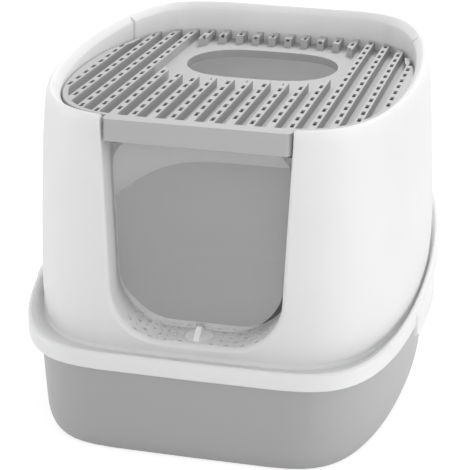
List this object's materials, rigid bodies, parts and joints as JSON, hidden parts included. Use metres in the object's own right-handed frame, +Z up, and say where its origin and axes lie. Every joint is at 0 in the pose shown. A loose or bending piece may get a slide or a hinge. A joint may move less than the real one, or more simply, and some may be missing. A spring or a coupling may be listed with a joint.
{
  "type": "enclosed two-way litter box",
  "caption": "Covered cat litter box with a ribbed lift-up lid that holds a top entry, a front doorway with a clear swing door and a turn latch, and a deep tray.",
  "frame": {"origin": "middle of the tray's flat bottom, under the middle of the skirt", "axes": "+X to the object's right seen from the front, +Y from the doorway to the back, +Z up"},
  "size_m": [0.4142, 0.523, 0.3439],
  "materials": {
    "white_plastic": "satin",
    "grey_plastic": "satin",
    "lid_plastic": "satin",
    "clear_plastic": "gloss",
    "dark_plastic": "satin"
  },
  "bodies": {
    "tray": {"tray": "grey_plastic"},
    "hood": {"hood": "white_plastic", "doorway_frame": "white_plastic"},
    "lid": {"lid": "lid_plastic", "door_hinge_clip_left": "dark_plastic", "door_hinge_clip_right": "dark_plastic"},
    "door": {"front_door": "clear_plastic"},
    "latch": {"latch_knob": "white_plastic", "latch_retainer": "white_plastic"}
  },
  "joints": [
    {"name": "hood_lift", "type": "slide", "parent": "tray", "child": "hood", "axis": [0, 0, 1], "range_m": [0, 0.15]},
    {"name": "lid_hinge", "type": "hinge", "parent": "hood", "child": "lid", "pos_m": [0, 0.10659, 0.31133], "axis": [-1, 0, 0], "range_deg": [0, 60]},
    {"name": "door_swing", "type": "hinge", "parent": "lid", "child": "door", "pos_m": [0, -0.20544, 0.30799], "axis": [1, 0, 0], "range_deg": [-80, 80]},
    {"name": "latch_turn", "type": "hinge", "parent": "hood", "child": "latch", "pos_m": [0, -0.21094, 0.116], "axis": [0, 0, 1], "range_deg": [0, 90]}
  ]
}
